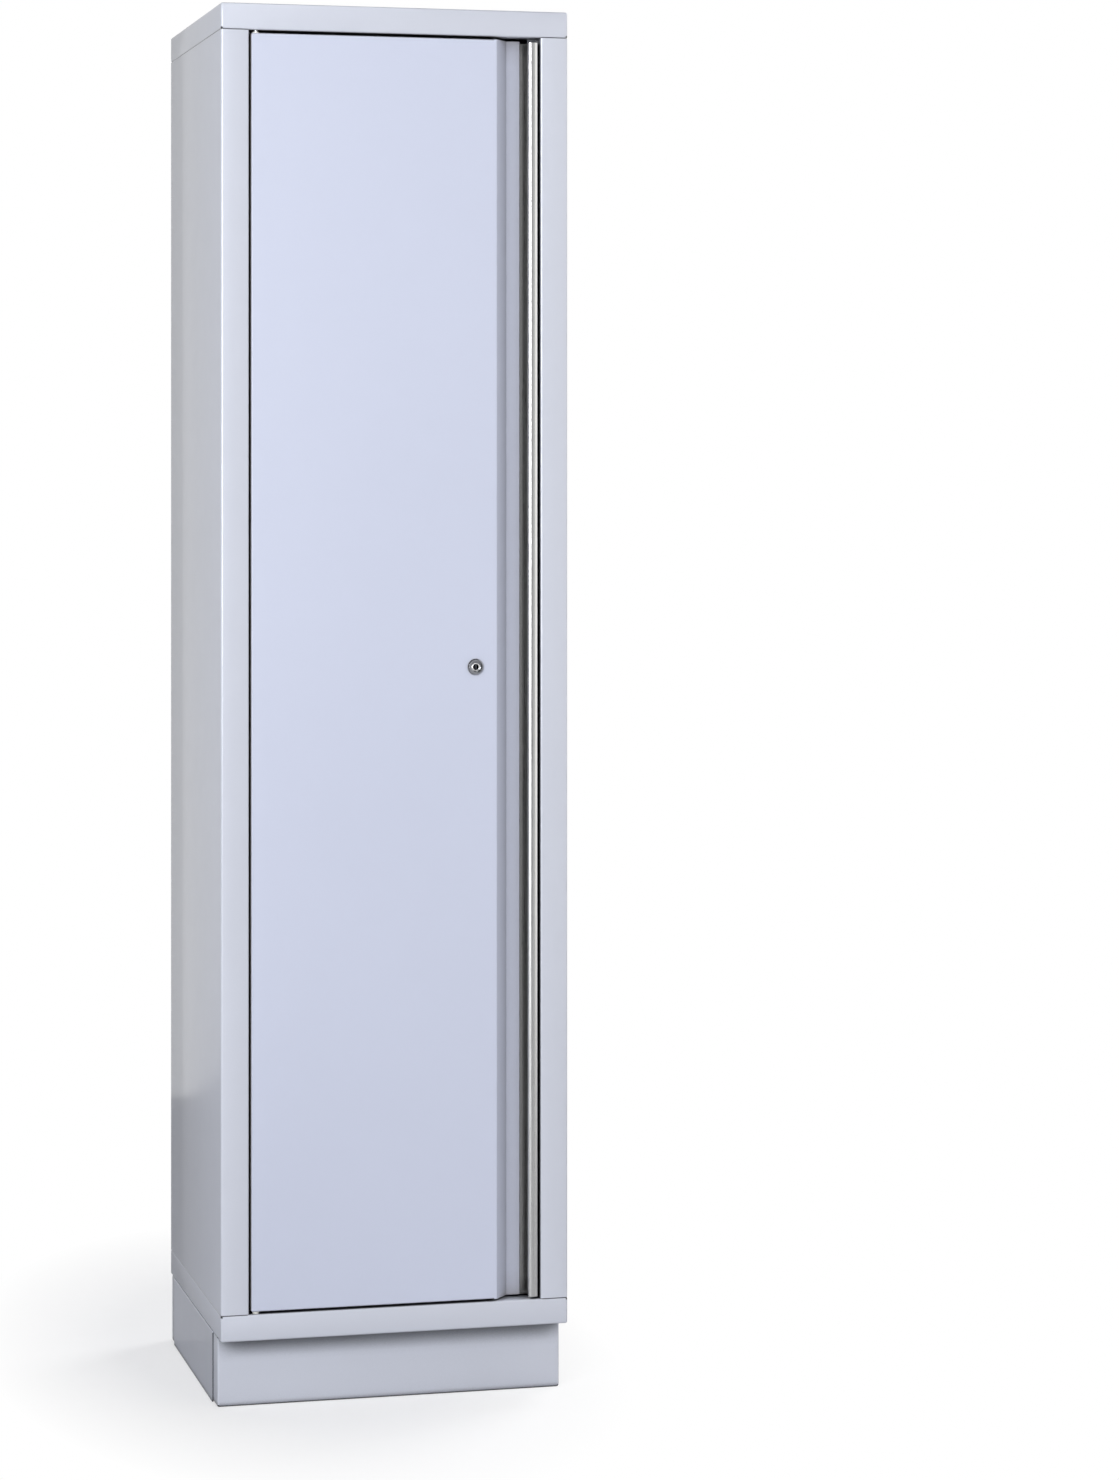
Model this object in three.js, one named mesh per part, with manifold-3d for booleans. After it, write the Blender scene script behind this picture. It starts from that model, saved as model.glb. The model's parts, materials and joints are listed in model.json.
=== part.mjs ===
import * as THREE from 'three';
import { RoundedBoxGeometry } from 'three/addons/geometries/RoundedBoxGeometry.js';
import { mergeVertices } from 'three/addons/utils/BufferGeometryUtils.js';
import Module from 'manifold-3d';

const wasm = await Module();
wasm.setup();

// A tall single-door sheet-steel locker on a set-back plinth, in millimetres.
// The origin is the middle of the footprint on the floor, +Z is up and the door faces -Y.
// Depths are counted from the front face towards +Y.

// Carcass
const WIDTH = 500;
const DEPTH = 460;
const CARCASS_HEIGHT = 1870;
const SHEET = 1.5;
const BEND = 1.5; // inside radius of a carcass or door fold
const PAN_HEIGHT = 37.5;
const PAN_LIP = 25;
const RELIEF_RADIUS = 1.8; // open corner where three folds meet
const RELIEF_HEIGHT = 3.5;
const STILE = 40;
const JAMB_DEPTH = 29;
const DOOR_STOP = 12;
const REAR_FLANGE = 25;
const END_FLANGE = 20; // foot and head flange of a side panel
const FLOOR_SETBACK = 45;

// Plinth
const PLINTH_HEIGHT = 100;
const PLINTH_SETBACK = 41;
const PLINTH_RETURN = 70;
const PLINTH_FLANGE = 30;
const PLINTH_PLATE = 2;
const PLINTH_PLATE_INSET = 34; // bare stretch of the returns before and behind a side plate
const PLINTH_PLATE_REVEAL = 2.5;

// Door
const DOOR_SHEET = 1.2;
const DOOR_GAP = 3;
const DOOR_GAP_TOP = 4;
const DOOR_GAP_BOTTOM = 3;
const DOOR_LIP = 18;
const RECESS_DEPTH = 22;
const RECESS_WIDTH = 61; // from the edge of the flat face to the free edge of the door
const RECESS_SLOPE = 19;
const RECESS_RETURN_GAP = 4; // the top and bottom folds end this far before the recess

// Handle profile on the free edge of the door
const PROFILE_WIDTH = 14.5;
const PROFILE_WALL = 2.3;
const PROFILE_BEAD = 3.8;
const PROFILE_FOOT = 2.5;
const PROFILE_FOOT_LAP = 15; // how far the foot runs behind the floor of the recess
const PROFILE_SHOWN_FOOT = 22.5; // from the edge of the recess floor to the free edge
const PROFILE_TOP_GAP = 3;

// Corner pivots
const PIVOT_INSET = 7.5; // from the hinge edge of the door
const PIVOT_DEPTH = 7;
const PIN_RADIUS = 2.5;
const PIN_HEAD_RADIUS = 3.6;
const PIN_HEAD = 2;
const BUSH_RADIUS = 4.1;
const BUSH_FLANGE_RADIUS = 4.6;
const BUSH_FLANGE = 1.5;
const BUSH_LENGTH = 11;

// Door stiffener behind the lock
const STIFFENER_WIDTH = 32;
const STIFFENER_FOOT = 11;

// Key lock
const LOCK_FROM_RECESS = 31; // from the edge of the flat face to the lock axis
const LOCK_HEIGHT = 1038;
const BEZEL_RADIUS = 11.5;
const BEZEL_PROUD = 2.5;
const BARREL_RADIUS = 9;
const BARREL_LENGTH = 20;
const PLUG_RADIUS = 6;
const PLUG_SUNK = 0.9; // plug face behind the front of the bezel
const KEYWAY_WIDTH = 2.2;
const KEYWAY_LENGTH = 8;
const KEYWAY_DEPTH = 6;
const NUT_FLATS = 22;
const NUT_THICKNESS = 5;
const TAIL = 5; // square end of the plug
const CAM_THICKNESS = 2;
const CAM_GAP = 0.5; // from the stiffener to the cam
const CAM_END_RADIUS = 6.5;
const STUD_THROW = 12; // from the lock axis to a stud
const STUD_RADIUS = 2;
const SCREW_HEAD_RADIUS = 3.9;
const SCREW_HEAD = 2.2;
const SCREW_RADIUS = 1.4;
const SCREW_LENGTH = 8;

// Locking rods
const ROD_WIDTH = 10;
const ROD_THICKNESS = 3;
const ROD_END_GAP = 3; // from a drawn-back rod to the end of the door
const YOKE_RIM = 2.5; // metal round the yoke slot
const YOKE_PLAY = 0.8; // play of a stud in its slot, along the rod
const GUIDE_SHEET = 1.5;
const GUIDE_BEND = 0.4;
const GUIDE_FOOT = 8;
const GUIDE_LENGTH = 14;
const GUIDE_INNER = 80; // from the lock axis
const GUIDE_OUTER = 25; // from the end of the stiffener

// Door buffers
const BUFFER_RADIUS = 4.5;
const BUFFER_FROM_END = 400;

// Shelves on slotted uprights
const SHELF_SHEET = 1.2;
const SHELF_FOLD = 28;
const SHELF_LIP = 14;
const SHELF_FRONT = 50;
const SHELF_BACK_GAP = 12;
const SHELF_COUNT = 4;
const FIRST_SLOT_COUNT = 6; // slots below the lowest shelf
const SHELF_STEP_COUNT = 7; // slots from one shelf to the next
const RAIL_SHEET = 1.5;
const RAIL_WIDTH = 30;
const RAIL_DEPTH = 12;
const RAIL_END_GAP = 6;
const RAIL_FRONT = 100; // depth of the front uprights' middle
const RAIL_REAR = 380;
const SLOT_PITCH = 50;
const SLOT_MARGIN = 30;
const SLOT_WIDTH = 14;
const SLOT_HEIGHT = 5;
const CLIP_SHEET = 2;
const CLIP_REACH = 18;
const CLIP_RISE = 6; // from the middle of the slot to the seat of the shelf
const CLIP_DROP = 12;
const CLIP_HOOK = 5;

// Clearances
const FIT = 0.3; // between pieces that pass through or beside each other
const SLACK = 1; // at the loose edges of laid-in panels and shelves
const SEAT_GAP = 0.2; // under the turning face of a hinge bush

// Facets
const FOLD_STEPS = 3;
const BOX_FOLD_STEPS = 2;
const CURVE_STEPS = 6;
const PIN_SIDES = 20;
const LOCK_SIDES = 40;

// Worked-out places
const FRONT = -DEPTH / 2;
const BASE_TOP = PLINTH_HEIGHT + PAN_HEIGHT;
const TOP = PLINTH_HEIGHT + CARCASS_HEIGHT;
const CAP_BOTTOM = TOP - PAN_HEIGHT;
const DOOR_LEFT = -WIDTH / 2 + STILE + DOOR_GAP;
const DOOR_RIGHT = WIDTH / 2 - STILE - DOOR_GAP;
const DOOR_BOTTOM = BASE_TOP + DOOR_GAP_BOTTOM;
const DOOR_TOP = CAP_BOTTOM - DOOR_GAP_TOP;
const DOOR_DEPTH = RECESS_DEPTH + DOOR_SHEET;
const RECESS_LEFT = DOOR_RIGHT - RECESS_WIDTH;
const PIVOT_X = DOOR_LEFT + PIVOT_INSET;
const PIVOT_Y = FRONT + PIVOT_DEPTH;
const LOCK_X = RECESS_LEFT - LOCK_FROM_RECESS;
const STIFFENER_LOW = DOOR_BOTTOM + DOOR_LIP + FIT;
const STIFFENER_HIGH = DOOR_TOP - DOOR_LIP - FIT;
const CAM_FRONT = DOOR_DEPTH + CAM_GAP;
const CAM_BACK = CAM_FRONT + CAM_THICKNESS;
const ROD_FRONT = CAM_BACK + FIT;
const ROD_BACK = ROD_FRONT + ROD_THICKNESS;
const RAIL_LOW = BASE_TOP + 2 * SHEET + RAIL_END_GAP;
const RAIL_HIGH = CAP_BOTTOM - SHEET - RAIL_END_GAP;

// Finishes
function finish(color, roughness, metalness) {
  return new THREE.MeshStandardMaterial({ color, roughness, metalness });
}

const PAINT = finish(0xcbcfd8, 0.4, 0.1);
const ALUMINIUM = finish(0xb9bcc0, 0.25, 1);
const CHROME = finish(0xd9dcdf, 0.1, 1);
const ZINC = finish(0xb4b8bd, 0.4, 1);
const NYLON = finish(0xe4e4e0, 0.5, 0);
const RUBBER = finish(0x2b2b2d, 0.8, 0);

// Solids

function toSolid(geometry) {
  const bare = geometry.clone();
  bare.deleteAttribute('normal');
  bare.deleteAttribute('uv');
  const merged = mergeVertices(bare);
  const vertProperties = merged.attributes.position.array;
  const triVerts = new Uint32Array(merged.index.array);
  return new wasm.Manifold(new wasm.Mesh({ numProp: 3, vertProperties, triVerts }));
}

function toGeometry(solid) {
  const { vertProperties, triVerts } = solid.getMesh();
  const geometry = new THREE.BufferGeometry();
  geometry.setAttribute('position', new THREE.BufferAttribute(vertProperties, 3));
  geometry.setIndex(new THREE.BufferAttribute(triVerts, 1));
  geometry.computeVertexNormals();
  return geometry;
}

function join(...geometries) {
  return toGeometry(geometries.map(toSolid).reduce((whole, piece) => whole.add(piece)));
}

function cut(geometry, ...tools) {
  return toGeometry(tools.map(toSolid).reduce((left, tool) => left.subtract(tool), toSolid(geometry)));
}

// Block between two corners, with all its edges rounded where a radius is given
function block([x0, y0, z0], [x1, y1, z1], radius = 0) {
  const size = [x1 - x0, y1 - y0, z1 - z0];
  const box = radius > 0
    ? new RoundedBoxGeometry(...size, BOX_FOLD_STEPS, radius)
    : new THREE.BoxGeometry(...size);
  return box.translate((x0 + x1) / 2, (y0 + y1) / 2, (z0 + z1) / 2);
}

function extrude(shape, length) {
  const options = { depth: length, bevelEnabled: false, curveSegments: CURVE_STEPS };
  return new THREE.ExtrudeGeometry(shape, options);
}

// Plan section (x, y) drawn up from low to high
function extrudeUp(shape, low, high) {
  return extrude(shape, high - low).translate(0, 0, low);
}

// Side section (y, z) drawn across, half the width to each side
function extrudeAcross(shape, width) {
  const turn = new THREE.Matrix4().makeBasis(
    new THREE.Vector3(0, 1, 0), new THREE.Vector3(0, 0, 1), new THREE.Vector3(1, 0, 0));
  return extrude(shape, width).applyMatrix4(turn).translate(-width / 2, 0, 0);
}

// Front section (x, z) drawn back between two values of y
function extrudeBack(shape, front, back) {
  return extrude(shape, back - front).rotateX(Math.PI / 2).translate(0, back, 0);
}

const corners = (pairs) => pairs.map(([x, y]) => new THREE.Vector2(x, y));

// Turned piece round the Y axis, from a closed profile of radius and y
function turned(profile, sides) {
  return new THREE.LatheGeometry(corners(profile), sides);
}

// Round bar along the Y axis between two values of y
function roundBar(radius, front, back, sides) {
  return turned([[0, front], [radius, front], [radius, back], [0, back]], sides);
}

// Turned piece round the Z axis, from a closed profile of radius and z
function turnedUpright(profile, sides) {
  return turned(profile, sides).rotateX(Math.PI / 2);
}

function upright(radius, low, high) {
  return turnedUpright([[0, low], [radius, low], [radius, high], [0, high]], PIN_SIDES);
}

function bored(outer, inner, low, high) {
  return [[inner, low], [outer, low], [outer, high], [inner, high], [inner, low]];
}

// Line through the corners with each inner corner rounded off by an arc
function roundedLine(points, radii) {
  const line = [];
  points.forEach((corner, i) => {
    if (i === 0 || i === points.length - 1) {
      line.push(corner);
      return;
    }
    const back = points[i - 1].clone().sub(corner).normalize();
    const ahead = points[i + 1].clone().sub(corner).normalize();
    const half = Math.acos(back.dot(ahead)) / 2;
    const centre = back.clone().add(ahead).setLength(radii[i] / Math.sin(half)).add(corner);
    const start = corner.clone().addScaledVector(back, radii[i] / Math.tan(half)).sub(centre);
    const sweep = (Math.PI - 2 * half) * -Math.sign(back.cross(ahead));
    for (let step = 0; step <= FOLD_STEPS; step += 1) {
      const turn = start.clone().rotateAround(new THREE.Vector2(), sweep * step / FOLD_STEPS);
      line.push(turn.add(centre));
    }
  });
  return line;
}

// Section of a folded sheet: one face follows the points, and the sheet lies on its left (1) or right (-1)
function foldedSheet(points, thickness, bend, side) {
  const way = (i) => points[i + 1].clone().sub(points[i]).normalize();
  const normal = (d) => new THREE.Vector2(-d.y, d.x).multiplyScalar(side * thickness);
  const last = points.length - 1;
  const faceRadii = [];
  const backRadii = [];
  const backPoints = points.map((point, i) => {
    const before = way(Math.max(i - 1, 0));
    const after = way(Math.min(i, last - 1));
    const outside = before.cross(after) * side > 0;
    faceRadii.push(outside ? bend + thickness : bend);
    backRadii.push(outside ? bend : bend + thickness);
    const mitre = normal(before).add(normal(after)).divideScalar(1 + before.dot(after));
    return mitre.add(point);
  });
  const face = roundedLine(points, faceRadii);
  const back = roundedLine(backPoints, backRadii);
  return new THREE.Shape([...face, ...back.reverse()]);
}

// Section of a bridge with two feet: the feet stand on y = 0 and the inside is 2 * half wide
function bridge(half, rise, foot, thickness, bend) {
  const inside = [[-half - foot, 0], [-half, 0], [-half, rise], [half, rise], [half, 0], [half + foot, 0]];
  return foldedSheet(corners(inside), thickness, bend, 1);
}

// Carcass

// Folded pan with a plate on top, four sides and an inward lip below, holed for a hinge pin
function endPan(pinY) {
  const x = WIDTH / 2;
  const y = DEPTH / 2;
  const shell = cut(
    block([-x, -y, 0], [x, y, PAN_HEIGHT], BEND + SHEET),
    block([SHEET - x, SHEET - y, SHEET], [x - SHEET, y - SHEET, PAN_HEIGHT - SHEET], BEND),
    block([PAN_LIP - x, PAN_LIP - y, -SHEET], [x - PAN_LIP, y - PAN_LIP, 2 * SHEET + BEND]),
    upright(PIN_RADIUS + FIT, -SHEET, 2 * SHEET).translate(PIVOT_X, pinY, 0));
  const reliefs = [];
  for (const right of [-1, 1]) {
    for (const rear of [-1, 1]) {
      const relief = upright(RELIEF_RADIUS, -SHEET, RELIEF_HEIGHT);
      reliefs.push(relief.translate(right * (x - SHEET), rear * (y - SHEET), 0));
    }
  }
  return cut(shell, ...reliefs);
}

// Wall with stile, jamb and door stop in front, a flange behind, and a flange at each end
function sidePanel(side) {
  const at = (inset, depth) => [side * (WIDTH / 2 - inset), FRONT + depth];
  const folds = [
    at(REAR_FLANGE, DEPTH), at(0, DEPTH), at(0, 0),
    at(STILE, 0), at(STILE, JAMB_DEPTH), at(STILE + DOOR_STOP, JAMB_DEPTH)];
  const wall = extrudeUp(foldedSheet(corners(folds), SHEET, BEND, -side), BASE_TOP, CAP_BOTTOM);
  const flange = (low) => {
    const [x0, y0] = at(SHEET / 2, FLOOR_SETBACK);
    const [x1, y1] = at(END_FLANGE, DEPTH - REAR_FLANGE);
    return block([Math.min(x0, x1), y0, low], [Math.max(x0, x1), y1, low + SHEET]);
  };
  return join(wall, flange(BASE_TOP), flange(CAP_BOTTOM - SHEET));
}

function backPanel() {
  const half = WIDTH / 2 - SHEET - BEND - FIT;
  const rear = FRONT + DEPTH - SHEET;
  return block([-half, rear - SHEET, BASE_TOP], [half, rear, CAP_BOTTOM]);
}

// Loose plate on the foot flanges of the side panels
function floorPanel() {
  const half = WIDTH / 2 - SHEET - SLACK;
  const rear = FRONT + DEPTH - 2 * SHEET - SLACK;
  const low = BASE_TOP + SHEET;
  return block([-half, FRONT + FLOOR_SETBACK, low], [half, rear, low + SHEET]);
}

// Plinth

// Face with a flange above and below, a deep return at each end and open corner reliefs
function plinthPanel() {
  const half = WIDTH / 2 - PLINTH_PLATE;
  const high = PLINTH_HEIGHT;
  const shell = cut(
    block([-half, 0, 0], [half, PLINTH_RETURN + 2 * SHEET, high], BEND + SHEET),
    block([SHEET - half, SHEET, SHEET], [half - SHEET, 2 * PLINTH_RETURN, high - SHEET], BEND),
    block([SHEET - half, PLINTH_FLANGE, -SHEET], [half - SHEET, 2 * PLINTH_RETURN, high + SHEET]),
    block([-half - SHEET, PLINTH_RETURN, -SHEET], [half + SHEET, 2 * PLINTH_RETURN, high + SHEET]));
  const reliefs = [];
  for (const x of [SHEET - half, half - SHEET]) {
    for (const z of [SHEET, high - SHEET]) {
      reliefs.push(roundBar(RELIEF_RADIUS, -SHEET, RELIEF_HEIGHT, PIN_SIDES).translate(x, 0, z));
    }
  }
  return cut(shell, ...reliefs);
}

function plinthPlate(side) {
  const outer = side * WIDTH / 2;
  const inner = outer - side * PLINTH_PLATE;
  const front = FRONT + PLINTH_SETBACK + PLINTH_PLATE_INSET;
  const rear = FRONT + DEPTH - PLINTH_PLATE_INSET;
  const high = PLINTH_HEIGHT - PLINTH_PLATE_REVEAL;
  return block([Math.min(outer, inner), front, 0], [Math.max(outer, inner), rear, high]);
}

// Door

// Folded pan on the hinge side, running on into the slope and floor of the finger recess
function doorSkin() {
  const paneEnd = RECESS_LEFT - RECESS_RETURN_GAP;
  const beyond = DOOR_RIGHT;
  const rear = FRONT + DOOR_DEPTH;
  const pane = cut(
    block([DOOR_LEFT, FRONT, DOOR_BOTTOM], [beyond, rear, DOOR_TOP], BEND + DOOR_SHEET),
    block(
      [DOOR_LEFT + DOOR_SHEET, FRONT + DOOR_SHEET, DOOR_BOTTOM + DOOR_SHEET],
      [beyond + STILE, rear - DOOR_SHEET, DOOR_TOP - DOOR_SHEET], BEND),
    block(
      [DOOR_LEFT + DOOR_LIP, rear - 2 * DOOR_SHEET - BEND, DOOR_BOTTOM + DOOR_LIP],
      [beyond + STILE, rear + DOOR_SHEET, DOOR_TOP - DOOR_LIP]),
    block([paneEnd, FRONT - SHEET, DOOR_BOTTOM - SHEET], [beyond + STILE, rear + SHEET, DOOR_TOP + SHEET]));
  const recess = [
    [paneEnd, FRONT], [RECESS_LEFT, FRONT],
    [RECESS_LEFT + RECESS_SLOPE, FRONT + RECESS_DEPTH],
    [DOOR_RIGHT - PROFILE_SHOWN_FOOT, FRONT + RECESS_DEPTH]];
  const strip = extrudeUp(foldedSheet(corners(recess), DOOR_SHEET, BEND, 1), DOOR_BOTTOM, DOOR_TOP);
  const lockHole = roundBar(BARREL_RADIUS + FIT, -DOOR_SHEET, 2 * DOOR_SHEET, LOCK_SIDES)
    .translate(LOCK_X, FRONT, LOCK_HEIGHT);
  const bushHole = (z) => upright(BUSH_RADIUS + FIT, z - 2 * DOOR_SHEET, z + 2 * DOOR_SHEET)
    .translate(PIVOT_X, PIVOT_Y, 0);
  return cut(join(pane, strip), lockHole, bushHole(DOOR_TOP), bushHole(DOOR_BOTTOM));
}

// Extrusion with a crowned bead, a half-round finger groove behind it, and a flat foot
function handleProfile() {
  const footFront = DOOR_DEPTH;
  const footBack = footFront + PROFILE_FOOT;
  const footEnd = -PROFILE_SHOWN_FOOT - PROFILE_FOOT_LAP;
  const groove = (footFront - PROFILE_BEAD) / 2;
  const grooveX = -PROFILE_WALL - groove;
  const section = new THREE.Shape();
  section.moveTo(footEnd, footFront);
  section.lineTo(grooveX, footFront);
  section.absarc(grooveX, footFront - groove, groove, Math.PI / 2, -Math.PI / 2, true);
  section.lineTo(-PROFILE_WIDTH, PROFILE_BEAD);
  const half = PROFILE_WIDTH / 2;
  section.absellipse(-half, PROFILE_BEAD, half, PROFILE_BEAD, Math.PI, 2 * Math.PI, false);
  section.lineTo(0, footBack);
  section.lineTo(footEnd, footBack);
  section.closePath();
  return extrudeUp(section, DOOR_BOTTOM, DOOR_TOP - PROFILE_TOP_GAP).translate(DOOR_RIGHT, FRONT, 0);
}

// Hat channel on the back of the skin, holed for the lock plug
function doorStiffener() {
  const half = STIFFENER_WIDTH / 2 - DOOR_SHEET;
  const section = bridge(half, DOOR_DEPTH - 2 * DOOR_SHEET, STIFFENER_FOOT, DOOR_SHEET, BEND);
  const hat = extrudeUp(section, STIFFENER_LOW, STIFFENER_HIGH).translate(LOCK_X, FRONT + DOOR_SHEET, 0);
  const hole = roundBar(PLUG_RADIUS + FIT, BARREL_LENGTH, CAM_BACK, LOCK_SIDES);
  return cut(hat, hole.translate(LOCK_X, FRONT, LOCK_HEIGHT));
}

// Corner pivots, made at the top of the door: z = 0 is the outer face of the door's fold

function hingePin(gap) {
  const seat = gap + SHEET;
  return turnedUpright([
    [0, -BUSH_LENGTH + BUSH_FLANGE], [PIN_RADIUS, -BUSH_LENGTH + BUSH_FLANGE], [PIN_RADIUS, seat],
    [PIN_HEAD_RADIUS, seat], [PIN_HEAD_RADIUS, seat + PIN_HEAD], [0, seat + PIN_HEAD]], PIN_SIDES);
}

function hingeBush() {
  const bore = PIN_RADIUS + FIT;
  const low = BUSH_FLANGE - BUSH_LENGTH;
  return turnedUpright([
    [bore, low], [BUSH_RADIUS, low], [BUSH_RADIUS, 0], [BUSH_FLANGE_RADIUS, 0],
    [BUSH_FLANGE_RADIUS, BUSH_FLANGE], [bore, BUSH_FLANGE], [bore, low]], PIN_SIDES);
}

function hingeWasher() {
  return turnedUpright(
    bored(BUSH_FLANGE_RADIUS, PIN_RADIUS + FIT, BUSH_FLANGE + SEAT_GAP, DOOR_GAP_BOTTOM), PIN_SIDES);
}

// Key lock, made on its own axis: y = 0 is the front face of the door

function lockBarrel() {
  const bore = PLUG_RADIUS + FIT;
  const rim = BEZEL_PROUD / 2;
  const mouth = PLUG_SUNK / 2 - BEZEL_PROUD;
  return turned([
    [bore, mouth], [bore + PLUG_SUNK, -BEZEL_PROUD], [BEZEL_RADIUS - rim, -BEZEL_PROUD],
    [BEZEL_RADIUS, -rim], [BEZEL_RADIUS, 0], [BARREL_RADIUS, 0], [BARREL_RADIUS, BARREL_LENGTH],
    [bore, BARREL_LENGTH], [bore, mouth]], LOCK_SIDES);
}

function lockNut() {
  const corner = NUT_FLATS / Math.sqrt(3);
  const sixth = Math.PI / 3;
  const hexagon = new THREE.Shape();
  for (let i = 0; i < 6; i += 1) {
    const [x, y] = [corner * Math.cos(i * sixth), corner * Math.sin(i * sixth)];
    if (i === 0) {
      hexagon.moveTo(x, y);
    } else {
      hexagon.lineTo(x, y);
    }
  }
  hexagon.closePath();
  const rear = DOOR_SHEET + NUT_THICKNESS;
  const bore = roundBar(BARREL_RADIUS + FIT, 0, rear + SHEET, LOCK_SIDES);
  return cut(extrudeBack(hexagon, DOOR_SHEET, rear), bore);
}

function squareBar(size, front, back) {
  return block([-size / 2, front, -size / 2], [size / 2, back, size / 2]);
}

function lockPlug() {
  const face = PLUG_SUNK - BEZEL_PROUD;
  const body = roundBar(PLUG_RADIUS, face, CAM_FRONT, LOCK_SIDES);
  const boreEnd = CAM_BACK - SCREW_LENGTH - FIT;
  const screwBore = roundBar(SCREW_RADIUS + FIT, boreEnd, CAM_BACK + SHEET, PIN_SIDES);
  const keyway = block(
    [-KEYWAY_WIDTH / 2, face - SHEET, -KEYWAY_LENGTH / 2],
    [KEYWAY_WIDTH / 2, face + KEYWAY_DEPTH, KEYWAY_LENGTH / 2]);
  return cut(join(body, squareBar(TAIL, CAM_FRONT - SHEET, CAM_BACK)), screwBore, keyway);
}

// Two-armed plate with a stud on each arm, turned so that both rods are drawn back
function lockCam() {
  const plate = new THREE.Shape();
  plate.absarc(STUD_THROW, 0, CAM_END_RADIUS, -Math.PI / 2, Math.PI / 2, false);
  plate.absarc(-STUD_THROW, 0, CAM_END_RADIUS, Math.PI / 2, 3 * Math.PI / 2, false);
  plate.closePath();
  const tip = ROD_BACK + FIT;
  const stud = (x) => roundBar(STUD_RADIUS, CAM_FRONT, tip, PIN_SIDES).translate(x, 0, 0);
  const arms = join(extrudeBack(plate, CAM_FRONT, CAM_BACK), stud(STUD_THROW), stud(-STUD_THROW));
  const turnedArms = arms.rotateY(Math.PI / 4);
  return cut(turnedArms, squareBar(TAIL + 2 * FIT, CAM_FRONT - SHEET, CAM_BACK + SHEET));
}

function lockCamScrew() {
  return turned([
    [0, CAM_BACK - SCREW_LENGTH], [SCREW_RADIUS, CAM_BACK - SCREW_LENGTH],
    [SCREW_RADIUS, CAM_BACK], [SCREW_HEAD_RADIUS, CAM_BACK],
    [SCREW_HEAD_RADIUS, CAM_BACK + SCREW_HEAD], [0, CAM_BACK + SCREW_HEAD]], PIN_SIDES);
}

// Locking rods, made about the lock axis and running up from it

// Flat bar with a yoke beside the lock axis, whose level slot takes a stud of the cam
function lockingRod(reach) {
  const level = STUD_THROW * Math.SQRT1_2; // a stud's height and least offset at both ends of its swing
  const slotHalfHeight = STUD_RADIUS + YOKE_PLAY;
  const slotMiddle = (STUD_THROW + level) / 2;
  const slotHalfLength = (STUD_THROW - level) / 2 + STUD_RADIUS + YOKE_PLAY;
  const yokeIn = Math.max(slotMiddle - slotHalfLength - YOKE_RIM, SCREW_HEAD_RADIUS + FIT);
  const yokeOut = slotMiddle + slotHalfLength + YOKE_RIM;
  const yokeLow = -level - slotHalfHeight - YOKE_RIM;
  const barLow = -yokeLow + YOKE_RIM;
  const barHalf = ROD_WIDTH / 2;
  const outline = new THREE.Shape(corners([
    [yokeIn, yokeLow], [yokeOut, yokeLow], [yokeOut, barLow], [barHalf, barLow + yokeOut - barHalf],
    [barHalf, reach], [-barHalf, reach], [-barHalf, barLow], [yokeIn, barLow]]));
  const slot = new THREE.Path();
  const slotEnd = slotHalfLength - slotHalfHeight;
  slot.absarc(slotMiddle + slotEnd, -level, slotHalfHeight, -Math.PI / 2, Math.PI / 2, false);
  slot.absarc(slotMiddle - slotEnd, -level, slotHalfHeight, Math.PI / 2, 3 * Math.PI / 2, false);
  slot.closePath();
  outline.holes.push(slot);
  return extrudeBack(outline, ROD_FRONT, ROD_BACK);
}

// Strap over a rod, standing on the stiffener
function rodGuide() {
  const rise = ROD_BACK + FIT - DOOR_DEPTH;
  const section = bridge(ROD_WIDTH / 2 + FIT, rise, GUIDE_FOOT, GUIDE_SHEET, GUIDE_BEND);
  return extrudeUp(section, -GUIDE_LENGTH / 2, GUIDE_LENGTH / 2).translate(LOCK_X, FRONT + DOOR_DEPTH, 0);
}

// Rubber stud on the door stop, just clear of the closed door
function doorBuffer() {
  const tip = DOOR_DEPTH + PROFILE_FOOT + FIT;
  const shoulder = (tip + JAMB_DEPTH) / 2;
  return turned([
    [0, tip], [BUFFER_RADIUS / 2, tip], [BUFFER_RADIUS, shoulder],
    [BUFFER_RADIUS, JAMB_DEPTH], [0, JAMB_DEPTH]], PIN_SIDES);
}

// Shelving

// Heights above the foot of an upright
const slotAt = (index) => SLOT_MARGIN + index * SLOT_PITCH;
const shelfSlot = (index) => slotAt(FIRST_SLOT_COUNT + index * SHELF_STEP_COUNT);

// Channel open towards the wall at x = 0, with a row of slots in its face
function shelfRail() {
  const length = RAIL_HIGH - RAIL_LOW;
  const half = RAIL_WIDTH / 2;
  const folds = [[0, -half], [RAIL_DEPTH, -half], [RAIL_DEPTH, half], [0, half]];
  const section = foldedSheet(corners(folds), RAIL_SHEET, BEND, 1);
  const slots = [];
  for (let i = 0; slotAt(i) <= length - SLOT_MARGIN; i += 1) {
    slots.push(block(
      [RAIL_DEPTH - 2 * RAIL_SHEET, -SLOT_WIDTH / 2, slotAt(i) - SLOT_HEIGHT / 2],
      [RAIL_DEPTH + RAIL_SHEET, SLOT_WIDTH / 2, slotAt(i) + SLOT_HEIGHT / 2]));
  }
  return cut(extrudeUp(section, 0, length), ...slots);
}

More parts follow.
